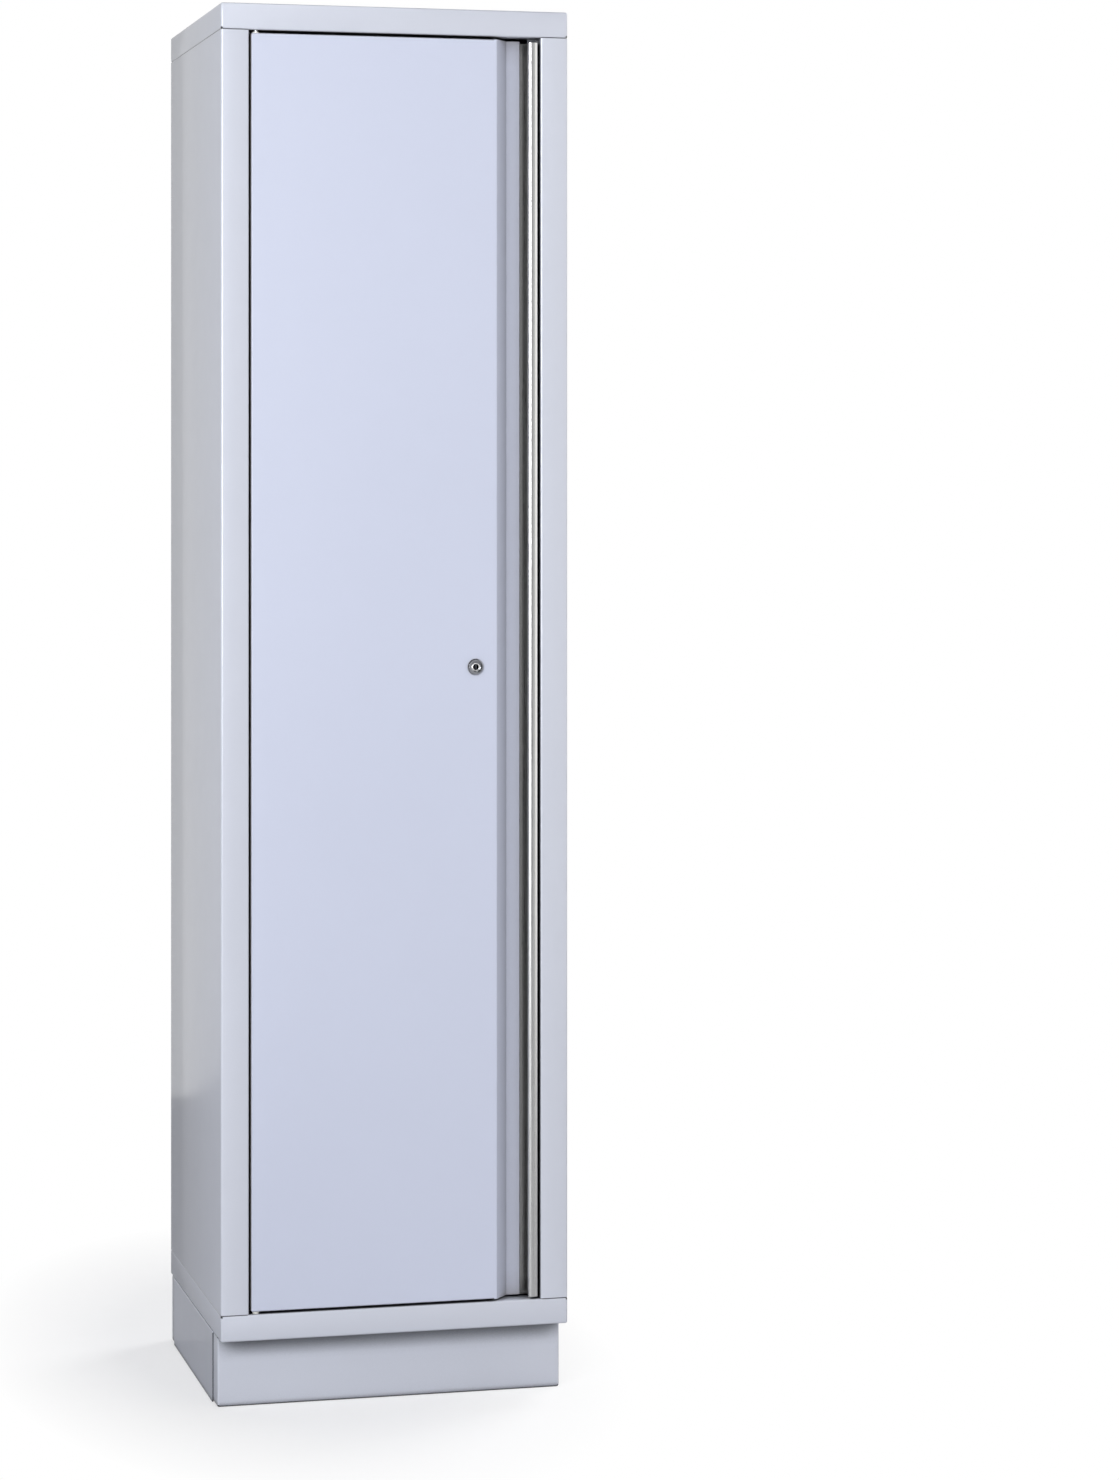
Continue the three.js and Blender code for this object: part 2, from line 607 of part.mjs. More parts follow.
// Bent clip: x = 0 is the face of the upright and z = 0 the middle of its slot
function shelfClip() {
  const hookLow = FIT - SLOT_HEIGHT / 2;
  const hookHigh = hookLow + CLIP_SHEET;
  const hookIn = -RAIL_SHEET - FIT;
  const hookBack = hookIn - CLIP_SHEET;
  const outline = new THREE.Shape(corners([
    [0, -CLIP_DROP], [CLIP_SHEET, -CLIP_DROP], [CLIP_SHEET, CLIP_RISE - CLIP_SHEET],
    [CLIP_REACH, CLIP_RISE - CLIP_SHEET], [CLIP_REACH, CLIP_RISE], [0, CLIP_RISE],
    [0, hookHigh], [hookBack, hookHigh], [hookBack, hookLow - CLIP_HOOK],
    [hookIn, hookLow - CLIP_HOOK], [hookIn, hookLow], [0, hookLow]]));
  const half = SLOT_WIDTH / 2 - FIT;
  return extrudeBack(outline, -half, half);
}

// Plate with a fold and a lip at front and rear: z = 0 is the seat on the clips
function shelf() {
  const front = FRONT + SHELF_FRONT;
  const rear = FRONT + DEPTH - 2 * SHEET - SHELF_BACK_GAP;
  const low = SHELF_SHEET - SHELF_FOLD;
  const folds = [
    [front + SHELF_LIP, low], [front, low], [front, SHELF_SHEET],
    [rear, SHELF_SHEET], [rear, low], [rear - SHELF_LIP, low]];
  const width = WIDTH - 2 * (SHEET + RAIL_DEPTH + CLIP_SHEET + SLACK);
  return extrudeAcross(foldedSheet(corners(folds), SHELF_SHEET, BEND, -1), width);
}

// Assembly

const locker = new THREE.Group();

function place(parent, name, geometry, material, position = [0, 0, 0]) {
  const mesh = new THREE.Mesh(geometry, material);
  mesh.name = name;
  mesh.position.set(...position);
  parent.add(mesh);
  return mesh;
}

function addCarcass() {
  place(locker, 'top_cap', endPan(PIVOT_Y), PAINT, [0, 0, CAP_BOTTOM]);
  const base = place(locker, 'base_pan', endPan(-PIVOT_Y), PAINT, [0, 0, BASE_TOP]);
  base.rotation.x = Math.PI;
  place(locker, 'left_side_panel', sidePanel(-1), PAINT);
  place(locker, 'right_side_panel', sidePanel(1), PAINT);
  place(locker, 'back_panel', backPanel(), PAINT);
  place(locker, 'floor_panel', floorPanel(), PAINT);
}

function addPlinth() {
  place(locker, 'plinth_front_panel', plinthPanel(), PAINT, [0, FRONT + PLINTH_SETBACK, 0]);
  const back = place(locker, 'plinth_back_panel', plinthPanel(), PAINT, [0, FRONT + DEPTH, 0]);
  back.rotation.z = Math.PI;
  place(locker, 'plinth_left_plate', plinthPlate(-1), PAINT);
  place(locker, 'plinth_right_plate', plinthPlate(1), PAINT);
}

function addDoor() {
  place(locker, 'door_skin', doorSkin(), PAINT);
  place(locker, 'handle_profile', handleProfile(), ALUMINIUM);
  place(locker, 'door_stiffener', doorStiffener(), PAINT);
  const buffer = doorBuffer();
  const bufferX = WIDTH / 2 - STILE - DOOR_STOP / 2;
  place(locker, 'door_buffer_lower', buffer, RUBBER, [bufferX, FRONT, DOOR_BOTTOM + BUFFER_FROM_END]);
  place(locker, 'door_buffer_upper', buffer, RUBBER, [bufferX, FRONT, DOOR_TOP - BUFFER_FROM_END]);
}

function addPivots() {
  const upper = new THREE.Group();
  upper.position.set(PIVOT_X, PIVOT_Y, DOOR_TOP);
  place(upper, 'hinge_pin_upper', hingePin(DOOR_GAP_TOP), ZINC);
  place(upper, 'hinge_bush_upper', hingeBush(), NYLON);
  const lower = new THREE.Group();
  lower.position.set(PIVOT_X, PIVOT_Y, DOOR_BOTTOM);
  lower.rotation.x = Math.PI;
  place(lower, 'hinge_pin_lower', hingePin(DOOR_GAP_BOTTOM), ZINC);
  place(lower, 'hinge_bush_lower', hingeBush(), NYLON);
  place(lower, 'hinge_washer', hingeWasher(), NYLON);
  locker.add(upper, lower);
}

function addLock() {
  const lock = new THREE.Group();
  lock.position.set(LOCK_X, FRONT, LOCK_HEIGHT);
  place(lock, 'lock_barrel', lockBarrel(), CHROME);
  place(lock, 'lock_nut', lockNut(), ZINC);
  place(lock, 'lock_plug', lockPlug(), CHROME);
  place(lock, 'lock_cam', lockCam(), ZINC);
  place(lock, 'lock_cam_screw', lockCamScrew(), ZINC);
  place(lock, 'upper_rod', lockingRod(DOOR_TOP - ROD_END_GAP - LOCK_HEIGHT), ZINC);
  const lower = place(lock, 'lower_rod', lockingRod(LOCK_HEIGHT - DOOR_BOTTOM - ROD_END_GAP), ZINC);
  lower.rotation.y = Math.PI;
  locker.add(lock);
  const guide = rodGuide();
  place(locker, 'rod_guide_top', guide, ZINC, [0, 0, STIFFENER_HIGH - GUIDE_OUTER]);
  place(locker, 'rod_guide_above_lock', guide, ZINC, [0, 0, LOCK_HEIGHT + GUIDE_INNER]);
  place(locker, 'rod_guide_below_lock', guide, ZINC, [0, 0, LOCK_HEIGHT - GUIDE_INNER]);
  place(locker, 'rod_guide_bottom', guide, ZINC, [0, 0, STIFFENER_LOW + GUIDE_OUTER]);
}

function addShelving() {
  const rail = shelfRail();
  const clip = shelfClip();
  const rows = [['front', RAIL_FRONT], ['rear', RAIL_REAR]];
  const sides = [['left', -1], ['right', 1]];
  for (const [row, depth] of rows) {
    for (const [hand, side] of sides) {
      const stand = new THREE.Group();
      stand.position.set(side * (WIDTH / 2 - SHEET), FRONT + depth, RAIL_LOW);
      stand.rotation.z = side > 0 ? Math.PI : 0;
      place(stand, `shelf_rail_${row}_${hand}`, rail, PAINT);
      for (let i = 0; i < SHELF_COUNT; i += 1) {
        const seat = [RAIL_DEPTH, 0, shelfSlot(i)];
        place(stand, `shelf_clip_${i + 1}_${row}_${hand}`, clip, ZINC, seat);
      }
      locker.add(stand);
    }
  }
  const plate = shelf();
  for (let i = 0; i < SHELF_COUNT; i += 1) {
    const seat = RAIL_LOW + shelfSlot(i) + CLIP_RISE;
    place(locker, `shelf_${i + 1}`, plate, PAINT, [0, 0, seat]);
  }
}

addCarcass();
addPlinth();
addDoor();
addPivots();
addLock();
addShelving();

export default locker;
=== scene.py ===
import json
import math

import bmesh
import bpy
from mathutils import Matrix, Vector

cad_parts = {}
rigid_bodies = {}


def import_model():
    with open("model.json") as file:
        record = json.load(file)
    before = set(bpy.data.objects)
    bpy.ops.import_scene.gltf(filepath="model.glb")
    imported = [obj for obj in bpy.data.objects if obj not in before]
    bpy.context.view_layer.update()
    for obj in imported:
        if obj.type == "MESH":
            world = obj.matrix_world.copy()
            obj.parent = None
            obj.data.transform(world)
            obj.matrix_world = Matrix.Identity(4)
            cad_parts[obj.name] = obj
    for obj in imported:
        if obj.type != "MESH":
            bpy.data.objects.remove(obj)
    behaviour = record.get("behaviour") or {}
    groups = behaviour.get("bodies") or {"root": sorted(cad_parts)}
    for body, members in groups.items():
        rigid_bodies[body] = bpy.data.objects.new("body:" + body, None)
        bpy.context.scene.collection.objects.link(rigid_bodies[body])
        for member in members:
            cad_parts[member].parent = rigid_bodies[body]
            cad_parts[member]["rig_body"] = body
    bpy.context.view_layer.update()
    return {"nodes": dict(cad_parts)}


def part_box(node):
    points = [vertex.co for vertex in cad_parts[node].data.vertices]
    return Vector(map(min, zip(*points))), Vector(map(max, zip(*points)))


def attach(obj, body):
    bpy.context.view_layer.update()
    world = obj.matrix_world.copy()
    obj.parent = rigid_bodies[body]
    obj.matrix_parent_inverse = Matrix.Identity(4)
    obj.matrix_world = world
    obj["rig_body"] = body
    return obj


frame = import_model()
nodes = frame["nodes"]

# A tall single-door sheet-steel locker in pale grey paint, in metres, in the frame of its solids.

# Camera, fitted to the edges of the carcass: yaw in radians, lens and sensor in millimetres
CAMERA_PLACE = (-1.1093, -5.3898, 1.3289)
CAMERA_YAW = 0.2427
FOCAL_LENGTH = 90.98
SENSOR_HEIGHT = 36
LENS_SHIFT = (0.0321, -0.188)

# Finishes, as linear colours
CARCASS_PAINT = (0.658, 0.683, 0.768)
DOOR_PAINT = (0.60, 0.634, 0.765)
ALUMINIUM = (0.80, 0.80, 0.79)
# Chrome in two copies: the flange plating darkened to paint in the dark that it reflects, the ring
# plating brightened as a painted highlight
SHADED_CHROME = (0.42, 0.43, 0.46)
LIT_RING_CHROME = (0.92, 0.92, 0.92)
ZINC = (0.66, 0.68, 0.71)
NYLON = (0.78, 0.78, 0.74)
RUBBER = (0.022, 0.022, 0.024)
KEY_GUIDE = (0.030, 0.027, 0.027)
STUDIO_WHITE = (1.0, 1.0, 1.0)
FLOOR_GREY = (0.45, 0.45, 0.46)

# Painted shade: colours that the finishes run to under overhangs and in seams and grooves
CARCASS_SHADE = (0.17, 0.178, 0.20)
SEAM_SHADE = (0.03, 0.03, 0.035)
DOOR_SHADE = (0.15, 0.12, 0.08)
ALUMINIUM_SHADE = (0.064, 0.064, 0.063)

# How far the normal leans upwards where the painted shade looks for overhangs
UPWARD_LEAN = 0.9

# Paint under its clear coat
CARCASS_METALLIC = 0.20
CARCASS_ROUGHNESS = 0.48
DOOR_METALLIC = 0.0
DOOR_ROUGHNESS = 0.42

# Clear coats: specular level under the coat, weight and roughness of the coat
GLOSSY_COAT = (0.5, 0.7, 0.14)
SATIN_COAT = (0.35, 0.2, 0.3)

# Shading of facets
SMOOTH_ANGLE = math.radians(40)
MERGE_DISTANCE = 0.000002

# Small fasteners: facets of a turn, ways to face, and a rivet's outline
TURNS = 28
FORWARD = (0, -1, 0)
BACKWARD = (0, 1, 0)
# Radius and height along the outline, as shares of the head's radius
RIVET_OUTLINE = (
    (1.00, 0.00), (1.00, 0.12), (0.86, 0.26), (0.62, 0.38),
    (0.40, 0.42), (0.34, 0.36), (0.30, 0.22), (0.05, 0.20))

# Stage: the floor's shadow fades out over an oval, from a share of its radii
FLOOR_REACH = 12.0
FLOOR_LIFT = 0.52
FADE_CENTRE = (-0.08, 0.16, 0)
FADE_RADII = (0.47, 0.90, 1)
FADE_START = 0.52
STAGE_SPECULAR = 0.1
BACKDROP_DEPTH = 2.4
BACKDROP_HEIGHT = 7.0
BACKDROP_GLOW = 0.70

# Lights
WORLD_COLOUR = (0.93, 0.95, 1.0)
WORLD_STRENGTH = 0.14
# Name, place, target, size, power in watts and colour
LAMPS = (
    ("key", (-3.2, -4.25, 2.0), (0.0, -0.2, 1.2), (3.0, 2.6), 220, (0.98, 0.99, 1.0)),
    ("front_top", (-0.3, -3.0, 4.2), (0.0, -0.2, 1.0), (2.4, 1.6), 28, STUDIO_WHITE),
    ("front_fill", (1.7, -3.6, 1.4), (0.0, -0.2, 1.1), (2.4, 2.8), 9, STUDIO_WHITE),
    ("right_fill", (3.0, -1.6, 1.5), (0.0, -0.2, 1.1), (2.8, 4.0), 42, (1.0, 0.98, 0.95)),
    ("right_top", (2.3, 1.6, 3.4), (0.0, 0.0, 0.4), (1.4, 1.4), 60, STUDIO_WHITE))


# Shader building blocks

def new_material(name):
    material = bpy.data.materials.new(name)
    material.use_nodes = True
    tree = material.node_tree
    return material, tree, tree.nodes["Principled BSDF"]


def add_node(tree, kind, **settings):
    node = tree.nodes.new(kind)
    for name, value in settings.items():
        setattr(node, name, value)
    return node


def noise(tree, scale, detail, stretch=(1, 1, 1)):
    """Noise in the part's own metres: scale is in features per metre."""
    place = add_node(tree, "ShaderNodeTexCoord")
    mapping = add_node(tree, "ShaderNodeMapping")
    mapping.inputs["Scale"].default_value = stretch
    texture = add_node(tree, "ShaderNodeTexNoise")
    texture.inputs["Scale"].default_value = scale
    texture.inputs["Detail"].default_value = detail
    tree.links.new(place.outputs["Object"], mapping.inputs["Vector"])
    tree.links.new(mapping.outputs["Vector"], texture.inputs["Vector"])
    return texture.outputs["Fac"]


def ranged(tree, value, low, high, start=0.3, end=0.7):
    """Value that runs from low to high as the given one runs from start to end."""
    node = add_node(tree, "ShaderNodeMapRange")
    node.inputs["From Min"].default_value = start
    node.inputs["From Max"].default_value = end
    node.inputs["To Min"].default_value = low
    node.inputs["To Max"].default_value = high
    tree.links.new(value, node.inputs["Value"])
    return node.outputs["Result"]


def mixed(tree, value, first, second):
    """Colour that runs from first to second as value runs from 0 to 1."""
    node = add_node(tree, "ShaderNodeMix", data_type="RGBA")
    tree.links.new(value, node.inputs["Factor"])
    for socket, colour in ((node.inputs["A"], first), (node.inputs["B"], second)):
        if isinstance(colour, tuple):
            socket.default_value = (*colour, 1)
        else:
            tree.links.new(colour, socket)
    return node.outputs["Result"]


def scaled(colour, factor):
    return tuple(min(channel * factor, 1.0) for channel in colour)


def mottled(tree, colour, spread, scale, detail=3.0, stretch=(1, 1, 1)):
    share = ranged(tree, noise(tree, scale, detail, stretch), 0, 1)
    return mixed(tree, share, scaled(colour, 1 - spread), scaled(colour, 1 + spread))


def skyward_normal(tree):
    """Surface normal leaned upwards, so that what stands below counts for little."""
    surface = add_node(tree, "ShaderNodeNewGeometry")
    leaned = add_node(tree, "ShaderNodeVectorMath", operation="ADD")
    leaned.inputs[1].default_value = (0, 0, UPWARD_LEAN)
    unit = add_node(tree, "ShaderNodeVectorMath", operation="NORMALIZE")
    tree.links.new(surface.outputs["Normal"], leaned.inputs[0])
    tree.links.new(leaned.outputs["Vector"], unit.inputs[0])
    return unit.outputs["Vector"]


def shaded(tree, colour, shade, reach, closed, clear, normal=None):
    """Colour with shade painted in, in seams and grooves narrower than the reach.

    The shade is full where the open share of the surroundings is down to closed, and gone
    where it is up to clear.
    """
    node = add_node(tree, "ShaderNodeAmbientOcclusion", samples=8)
    node.inputs["Distance"].default_value = reach
    if normal is not None:
        tree.links.new(normal, node.inputs["Normal"])
    share = ranged(tree, node.outputs["AO"], 0, 1, closed, clear)
    return mixed(tree, share, shade, colour)


def grained(tree, scale, depth, strength, edge, stretch=(1, 1, 1)):
    """Normal with a fine grain, over edges that look rounded to a radius."""
    height = noise(tree, scale, 2.0, stretch)
    rounded = add_node(tree, "ShaderNodeBevel", samples=4)
    rounded.inputs["Radius"].default_value = edge
    bump = add_node(tree, "ShaderNodeBump")
    bump.inputs["Strength"].default_value = strength
    bump.inputs["Distance"].default_value = depth
    tree.links.new(height, bump.inputs["Height"])
    tree.links.new(rounded.outputs["Normal"], bump.inputs["Normal"])
    return bump.outputs["Normal"]


def surfaced(tree, shader, colour, roughness, normal, metallic):
    tree.links.new(colour, shader.inputs["Base Color"])
    tree.links.new(roughness, shader.inputs["Roughness"])
    tree.links.new(normal, shader.inputs["Normal"])
    shader.inputs["Metallic"].default_value = metallic


# Materials

def powder_coat(name, colour, metallic, roughness, clear_coat, shading):
    """Smooth powder coat: faint cloudiness, fine flake, orange peel and thin edges, with shade
    painted in by shading.
    """
    material, tree, shader = new_material(name)
    cloudy = mottled(tree, colour, spread=0.018, scale=3.2)
    flake = ranged(tree, noise(tree, scale=1300, detail=1.0), 0, 1, start=0.35, end=0.65)
    flake_tint = scaled(colour, 0.975)
    # The flecked colour gets the painted shade from shading
    flecked_and_shaded = shading(tree, mixed(tree, flake, flake_tint, cloudy))
    unevenness = 0.03
    patchy = ranged(
        tree, noise(tree, scale=38, detail=4.0), roughness - unevenness, roughness + unevenness)
    orange_peel = grained(tree, scale=260, depth=0.0001, strength=0.14, edge=0.0006)
    surfaced(tree, shader, flecked_and_shaded, patchy, orange_peel, metallic)
    specular, coat_weight, coat_roughness = clear_coat
    shader.inputs["Specular IOR Level"].default_value = specular
    shader.inputs["Coat Weight"].default_value = coat_weight
    shader.inputs["Coat Roughness"].default_value = coat_roughness
    return material


def carcass_shading(tree, colour):
    """Painted shade, soft under overhangs and dark in the seams between the sheets."""
    overhang_shaded = shaded(
        tree, colour, CARCASS_SHADE, reach=0.04, closed=0.25, clear=0.72,
        normal=skyward_normal(tree))
    return shaded(tree, overhang_shaded, SEAM_SHADE, reach=0.009, closed=0.30, clear=0.93)


def door_shading(tree, colour):
    """Warm painted shade in the finger recess and along the edges of the door."""
    return shaded(tree, colour, DOOR_SHADE, reach=0.042, closed=0.05, clear=0.95)


def open_shading(tree, colour):
    """No shade at all."""
    return colour


def drawn_aluminium():
    """Anodised extrusion with die lines along its length, and shade painted dark into its groove.
    """
    material, tree, shader = new_material("drawn_aluminium")
    along = (1, 1, 0.012)
    streaked = mottled(tree, ALUMINIUM, spread=0.05, scale=900, detail=2.0, stretch=along)
    # Painted shade: the aluminium runs dark in the groove and the recess
    colour = shaded(tree, streaked, ALUMINIUM_SHADE, reach=0.03, closed=0.30, clear=0.97)
    die_lines = ranged(tree, noise(tree, scale=1400, detail=3.0, stretch=along), 0.26, 0.32)
    grooves = grained(
        tree, scale=2200, depth=0.0001, strength=0.03, edge=0.0004, stretch=along)
    surfaced(tree, shader, colour, die_lines, grooves, metallic=1.0)
    return material


def chrome_plate(name, colour, roughness):
    """Polished plating with a faint haze."""
    material, tree, shader = new_material(name)
    tinted = mottled(tree, colour, spread=0.03, scale=400)
    unevenness = 0.03
    haze = ranged(
        tree, noise(tree, scale=700, detail=3.0), roughness - unevenness, roughness + unevenness)
    polish = grained(tree, scale=1500, depth=0.00005, strength=0.08, edge=0.0003)
    surfaced(tree, shader, tinted, haze, polish, metallic=1.0)
    return material


def zinc_plate():
    """Bright zinc plating with a soft crystalline spangle."""
    material, tree, shader = new_material("zinc_plate")
    place = add_node(tree, "ShaderNodeTexCoord")
    cells = add_node(tree, "ShaderNodeTexVoronoi")
    cells.inputs["Scale"].default_value = 420
    tree.links.new(place.outputs["Object"], cells.inputs["Vector"])
    spangle = ranged(tree, cells.outputs["Distance"], 0, 1, start=0.0, end=0.8)
    dark_cell, light_cell = scaled(ZINC, 0.86), scaled(ZINC, 1.1)
    colour = mixed(tree, spangle, dark_cell, light_cell)
    roughness = ranged(tree, noise(tree, scale=120, detail=3.0), 0.28, 0.44)
    grain = grained(tree, scale=900, depth=0.0001, strength=0.12, edge=0.0004)
    surfaced(tree, shader, colour, roughness, grain, metallic=1.0)
    return material


def moulded(name, colour, roughness, grain):
    """Moulded nylon or rubber with a fine matt grain."""
    material, tree, shader = new_material(name)
    tinted = mottled(tree, colour, spread=0.06, scale=160)
    unevenness = 0.06
    matt = ranged(
        tree, noise(tree, scale=300, detail=3.0), roughness - unevenness, roughness + unevenness)
    texture = grained(tree, scale=1800, depth=0.0001, strength=grain, edge=0.0003)
    surfaced(tree, shader, tinted, matt, texture, metallic=0.0)
    return material


# Shading of the carried-over solids

def smooth_shading(angle):
    """Modifier that joins the facets and shades them smooth across bends below an angle."""
    group = bpy.data.node_groups.new("smooth_shading", "GeometryNodeTree")
    group.interface.new_socket("Geometry", in_out="INPUT", socket_type="NodeSocketGeometry")
    group.interface.new_socket("Geometry", in_out="OUTPUT", socket_type="NodeSocketGeometry")
    start = add_node(group, "NodeGroupInput")
    end = add_node(group, "NodeGroupOutput")
    merge = add_node(group, "GeometryNodeMergeByDistance")
    merge.inputs["Distance"].default_value = MERGE_DISTANCE
    bare = add_node(group, "GeometryNodeRemoveAttribute")
    bare.inputs["Name"].default_value = "custom_normal"
    faces = add_node(group, "GeometryNodeSetShadeSmooth", domain="FACE")
    edges = add_node(group, "GeometryNodeSetShadeSmooth", domain="EDGE")
    bend = add_node(group, "GeometryNodeInputMeshEdgeAngle")
    gentle = add_node(group, "FunctionNodeCompare", data_type="FLOAT", operation="LESS_THAN")
    gentle.inputs["B"].default_value = angle
    chain = [start, merge, bare, faces, edges, end]
    for before, after in zip(chain, chain[1:]):
        group.links.new(before.outputs[0], after.inputs[0])
    group.links.new(bend.outputs["Unsigned Angle"], gentle.inputs["A"])
    group.links.new(gentle.outputs["Result"], edges.inputs["Shade Smooth"])
    return group


def dress_solids(materials):
    """Finish of every solid by its slot, with a paint of its own on the door."""
    group = smooth_shading(SMOOTH_ANGLE)
    for node in nodes.values():
        slot = node.data.materials[0].name.split(".")[0]
        if slot == "paint" and node["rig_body"] == "door":
            slot = "door_paint"
        node.data.materials[0] = materials[slot]
        node.modifiers.new("smooth_shading", "NODES").node_group = group


# Small fasteners

def turned(profile, centre, axis):
    """Mesh of a turned piece: profile holds radius and height along the axis from the centre."""
    mesh = bmesh.new()
    rings = []
    for radius, height in profile:
        ring = []
        for i in range(TURNS):
            turn = 2 * math.pi * i / TURNS
            ring.append(mesh.verts.new((radius * math.cos(turn), radius * math.sin(turn), height)))
        rings.append(ring)
    for low, high in zip(rings, rings[1:]):
        for i in range(TURNS):
            j = (i + 1) % TURNS
            mesh.faces.new((low[i], low[j], high[j], high[i]))
    mesh.faces.new(rings[-1])
    mesh.faces.new(list(reversed(rings[0])))
    aim = Vector((0, 0, 1)).rotation_difference(Vector(axis)).to_matrix().to_4x4()
    mesh.transform(Matrix.Translation(centre) @ aim)
    return mesh


def gathered(name, meshes, material, body):
    """One object from several meshes, riding on a body."""
    whole = bmesh.new()
    for mesh in meshes:
        piece = bpy.data.meshes.new("piece")
        mesh.to_mesh(piece)
        whole.from_mesh(piece)
        bpy.data.meshes.remove(piece)
        mesh.free()
    for face in whole.faces:
        face.smooth = True
    data = bpy.data.meshes.new(name)
    whole.to_mesh(data)
    whole.free()
    data.materials.append(material)
    data.set_sharp_from_angle(angle=SMOOTH_ANGLE)
    piece = bpy.data.objects.new(name, data)
    bpy.context.scene.collection.objects.link(piece)
    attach(piece, body)


def blind_rivet(centre, axis, head):
    """Domed head with the pit that the broken mandrel leaves."""
    profile = [(radius * head, height * head) for radius, height in RIVET_OUTLINE]
    return turned(profile, centre, axis)


def row_heights(low, high, count, margin):
    """Heights of an even row that keeps a margin from both ends of a box."""
    step = (high.z - low.z - 2 * margin) / (count - 1)
    return [low.z + margin + i * step for i in range(count)]


def add_profile_rivets(material):
    """Rivets behind the recess, through the foot of the handle profile."""
    low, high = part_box("handle_profile")
    inset = 0.0075
    heights = row_heights(low, high, count=7, margin=0.06)
    rivets = [blind_rivet((low.x + inset, high.y, z), BACKWARD, head=0.0034) for z in heights]
    gathered("profile_rivets", rivets, material, "door")


def add_guide_rivets(material):
    """Two rivets through the feet of each rod guide."""
    inset = 0.0042
    foot_thickness = 0.0015
    rivets = []
    for place in ("top", "above_lock", "below_lock", "bottom"):
        low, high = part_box("rod_guide_" + place)
        z = (low.z + high.z) / 2
        foot = low.y + foot_thickness
        for x in (low.x + inset, high.x - inset):
            rivets.append(blind_rivet((x, foot, z), BACKWARD, head=0.0026))
    gathered("guide_rivets", rivets, material, "door")


def add_back_rivets(material):
    """Rivets that hold the back panel to the rear flanges, with their heads inside."""
    low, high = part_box("back_panel")
    inset = 0.010
    heights = row_heights(low, high, count=8, margin=0.09)
    rivets = []
    for x in (low.x + inset, high.x - inset):
        for z in heights:
            rivets.append(blind_rivet((x, low.y, z), FORWARD, head=0.0036))
    gathered("back_rivets", rivets, material, "carcass")


def rolled_strip(half, height, length):
    """Strip along y that stands on z = 0, with a half-round top."""
    steps = 10
    outline = [(half, 0.0)]
    for i in range(steps + 1):
        turn = math.pi * i / steps
        outline.append((half * math.cos(turn), height - half + half * math.sin(turn)))
    outline.append((-half, 0.0))
    mesh = bmesh.new()
    ends = [[mesh.verts.new((x, y, z)) for x, z in outline] for y in (0.0, length)]
    for i in range(len(outline)):
        j = (i + 1) % len(outline)
        mesh.faces.new((ends[0][i], ends[0][j], ends[1][j], ends[1][i]))
    mesh.faces.new(list(reversed(ends[0])))
    mesh.faces.new(ends[1])
    bmesh.ops.recalc_face_normals(mesh, faces=mesh.faces[:])
    return mesh


def add_plate_hems(material):
    """Rolled top edge of each plinth side plate, up to the base pan."""
    hem_height = 0.0023
    for side in ("left", "right"):
        low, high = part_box("plinth_" + side + "_plate")
        half = (high.x - low.x) / 2
        mesh = rolled_strip(half, hem_height, high.y - low.y)
        mesh.transform(Matrix.Translation(((low.x + high.x) / 2, low.y, high.z)))
        gathered("plinth_" + side + "_hem", [mesh], material, "carcass")


def key_guide(centre, radius):
    """Thin dished washer round the key slot."""
    slot_half_width = 0.0012
    slot_half_length = 0.0036
    depth = 0.0002
    mesh = bmesh.new()
    outer = []
    inner = []
    for i in range(TURNS):
        turn = 2 * math.pi * (i + 0.5) / TURNS
        x, z = math.cos(turn), math.sin(turn)
        outer.append(mesh.verts.new((radius * x, -depth, radius * z)))
        reach = min(slot_half_width / abs(x), slot_half_length / abs(z))
        inner.append(mesh.verts.new((reach * x, -depth / 2, reach * z)))
    for i in range(TURNS):
        j = (i + 1) % TURNS
        mesh.faces.new((outer[i], outer[j], inner[j], inner[i]))
    bmesh.ops.solidify(mesh, geom=mesh.faces[:], thickness=depth / 2)
    mesh.transform(Matrix.Translation(centre))
    return mesh


def add_key_face(chrome, guide):
    """Raised ring on the face of the plug, round a dark key guide with its slot."""
    low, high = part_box("lock_plug")
    centre = Vector(((low.x + high.x) / 2, low.y, (low.z + high.z) / 2))
    outer = 0.0058
    inner = 0.0042
    rise = 0.0008
    lip = 0.0002
    ring = [
        (inner, 0.0), (outer, 0.0), (outer, 0.6 * rise), (0.5 * (outer + inner), rise),
        (inner + lip, 0.75 * rise), (inner, 0.2 * rise)]
    mesh = turned(ring, centre, FORWARD)
    caps = [face for face in mesh.faces if len(face.verts) > 4]
    bmesh.ops.delete(mesh, geom=caps, context="FACES")
    rims = [edge for edge in mesh.edges if edge.is_boundary]
    bmesh.ops.bridge_loops(mesh, edges=rims)
    gathered("key_ring", [mesh], chrome, "lock_core")
    gathered("key_guide", [key_guide(centre, inner)], guide, "lock_core")


# Stage

def plane(name, corners, material):
    data = bpy.data.meshes.new(name)
    data.from_pydata(corners, [], [(0, 1, 2, 3)])
    data.materials.append(material)
    piece = bpy.data.objects.new(name, data)
    bpy.context.scene.collection.objects.link(piece)
    return piece


def white_emission(tree, strength):
    node = add_node(tree, "ShaderNodeEmission")
    node.inputs["Color"].default_value = (*STUDIO_WHITE, 1)
    node.inputs["Strength"].default_value = strength
    return node.outputs["Emission"]


def mixed_shaders(tree, share, first, second):
    """Shader that runs from first to second as share runs from 0 to 1."""
    node = add_node(tree, "ShaderNodeMixShader")
    tree.links.new(share, node.inputs["Fac"])
    tree.links.new(first, node.inputs[1])
    tree.links.new(second, node.inputs[2])
    return node.outputs["Shader"]


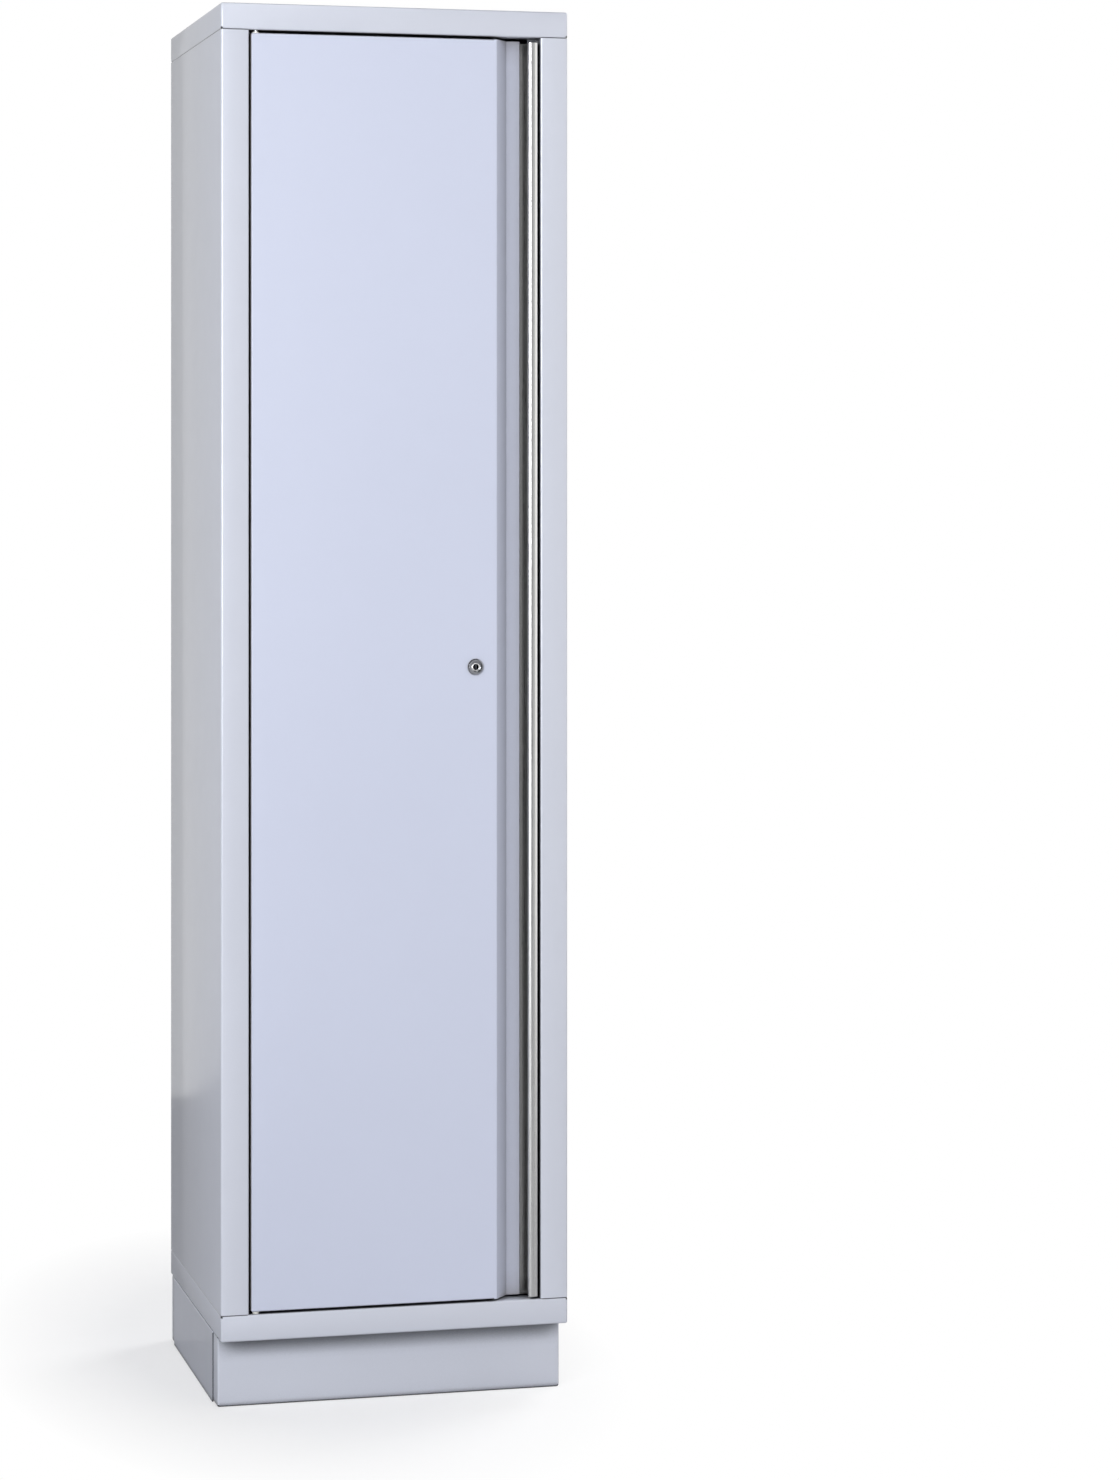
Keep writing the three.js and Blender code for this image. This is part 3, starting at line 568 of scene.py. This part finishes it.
def oval_fade(tree):
    """Share that runs from 0 by the locker to 1 on the rim of the oval and beyond."""
    place = add_node(tree, "ShaderNodeTexCoord")
    oval = add_node(tree, "ShaderNodeMapping", vector_type="TEXTURE")
    oval.inputs["Location"].default_value = FADE_CENTRE
    oval.inputs["Scale"].default_value = FADE_RADII
    reach = add_node(tree, "ShaderNodeVectorMath", operation="LENGTH")
    tree.links.new(place.outputs["Object"], oval.inputs["Vector"])
    tree.links.new(oval.outputs["Vector"], reach.inputs[0])
    return ranged(tree, reach.outputs["Value"], 0, 1, FADE_START, 1)


def floor_material():
    """Pale floor that keeps the shadow beside the locker and runs out to white for the camera."""
    material, tree, shader = new_material("studio_floor")
    grey = mottled(tree, FLOOR_GREY, spread=0.01, scale=2.0)
    roughness = ranged(tree, noise(tree, scale=30, detail=3.0), 0.75, 0.85)
    tree.links.new(grey, shader.inputs["Base Color"])
    tree.links.new(roughness, shader.inputs["Roughness"])
    shader.inputs["Specular IOR Level"].default_value = STAGE_SPECULAR
    lifted = add_node(tree, "ShaderNodeAddShader")
    tree.links.new(shader.outputs["BSDF"], lifted.inputs[0])
    tree.links.new(white_emission(tree, FLOOR_LIFT), lifted.inputs[1])
    white = white_emission(tree, 1.0)
    faded = mixed_shaders(tree, oval_fade(tree), lifted.outputs["Shader"], white)
    path = add_node(tree, "ShaderNodeLightPath")
    seen = mixed_shaders(tree, path.outputs["Is Camera Ray"], shader.outputs["BSDF"], faded)
    tree.links.new(seen, tree.nodes["Material Output"].inputs["Surface"])
    return material


def backdrop_material():
    """White for what mirrors the backdrop, and plain grey for the light that it throws."""
    material, tree, shader = new_material("studio_backdrop")
    grey = mottled(tree, FLOOR_GREY, spread=0.01, scale=1.0)
    tree.links.new(grey, shader.inputs["Base Color"])
    shader.inputs["Specular IOR Level"].default_value = STAGE_SPECULAR
    path = add_node(tree, "ShaderNodeLightPath")
    shown = add_node(tree, "ShaderNodeMath", operation="MAXIMUM")
    tree.links.new(path.outputs["Is Camera Ray"], shown.inputs[0])
    tree.links.new(path.outputs["Is Glossy Ray"], shown.inputs[1])
    white = white_emission(tree, BACKDROP_GLOW)
    seen = mixed_shaders(tree, shown.outputs["Value"], shader.outputs["BSDF"], white)
    tree.links.new(seen, tree.nodes["Material Output"].inputs["Surface"])
    return material


def set_stage():
    """Floor, and a backdrop that the camera doesn't see."""
    far = FLOOR_REACH
    corners = [(-far, -far, 0), (far, -far, 0), (far, far, 0), (-far, far, 0)]
    plane("floor", corners, floor_material())
    wall, top = BACKDROP_DEPTH, BACKDROP_HEIGHT
    corners = [(-far, wall, 0), (far, wall, 0), (far, wall, top), (-far, wall, top)]
    backdrop = plane("backdrop", corners, backdrop_material())
    backdrop.visible_camera = False


def set_world():
    """Dim sky that the camera sees as white."""
    world = bpy.data.worlds.new("studio")
    world.use_nodes = True
    tree = world.node_tree
    light = tree.nodes["Background"]
    light.inputs["Color"].default_value = (*WORLD_COLOUR, 1)
    light.inputs["Strength"].default_value = WORLD_STRENGTH
    white = add_node(tree, "ShaderNodeBackground")
    white.inputs["Color"].default_value = (*STUDIO_WHITE, 1)
    path = add_node(tree, "ShaderNodeLightPath")
    seen = mixed_shaders(
        tree, path.outputs["Is Camera Ray"],
        light.outputs["Background"], white.outputs["Background"])
    tree.links.new(seen, tree.nodes["World Output"].inputs["Surface"])
    bpy.context.scene.world = world


def add_lamp(name, place, target, size, power, colour):
    data = bpy.data.lights.new(name, "AREA")
    data.shape = "RECTANGLE"
    data.size, data.size_y = size
    data.energy = power
    data.color = colour
    lamp = bpy.data.objects.new(name, data)
    lamp.location = place
    lamp.rotation_euler = (Vector(target) - Vector(place)).to_track_quat("-Z", "Y").to_euler()
    bpy.context.scene.collection.objects.link(lamp)


def set_camera():
    data = bpy.data.cameras.new("camera")
    data.sensor_fit = "VERTICAL"
    data.sensor_height = SENSOR_HEIGHT
    data.lens = FOCAL_LENGTH
    data.shift_x, data.shift_y = LENS_SHIFT
    camera = bpy.data.objects.new("camera", data)
    camera.location = CAMERA_PLACE
    camera.rotation_euler = (math.pi / 2, 0, -CAMERA_YAW)
    bpy.context.scene.collection.objects.link(camera)
    bpy.context.scene.camera = camera


def make_materials():
    return {
        "paint": powder_coat(
            "carcass_paint", CARCASS_PAINT, CARCASS_METALLIC, CARCASS_ROUGHNESS,
            GLOSSY_COAT, carcass_shading),
        "door_paint": powder_coat(
            "door_paint", DOOR_PAINT, DOOR_METALLIC, DOOR_ROUGHNESS,
            SATIN_COAT, door_shading),
        # The hem paint is the carcass paint without its painted shade, so that the hems read
        # lighter than the shaded sheets
        "hem_paint": powder_coat(
            "hem_paint", CARCASS_PAINT, CARCASS_METALLIC, CARCASS_ROUGHNESS,
            GLOSSY_COAT, open_shading),
        "aluminium": drawn_aluminium(),
        # A shaded and a lit copy of one chrome plating: the darkened one paints in reflected dark,
        # the brightened one a painted highlight
        "chrome": chrome_plate("chrome_plate", SHADED_CHROME, roughness=0.14),
        "lit_ring_chrome": chrome_plate("lit_ring_chrome", LIT_RING_CHROME, roughness=0.30),
        "zinc": zinc_plate(),
        "nylon": moulded("nylon", NYLON, roughness=0.45, grain=0.10),
        "rubber": moulded("rubber", RUBBER, roughness=0.80, grain=0.25),
        "key_guide": moulded("key_guide", KEY_GUIDE, roughness=0.40, grain=0.10)}


def main():
    materials = make_materials()
    dress_solids(materials)
    add_profile_rivets(materials["zinc"])
    add_guide_rivets(materials["zinc"])
    add_back_rivets(materials["zinc"])
    add_plate_hems(materials["hem_paint"])
    add_key_face(materials["lit_ring_chrome"], materials["key_guide"])
    set_stage()
    set_world()
    for lamp in LAMPS:
        add_lamp(*lamp)
    set_camera()
    bpy.context.scene.view_settings.view_transform = "Standard"


main()
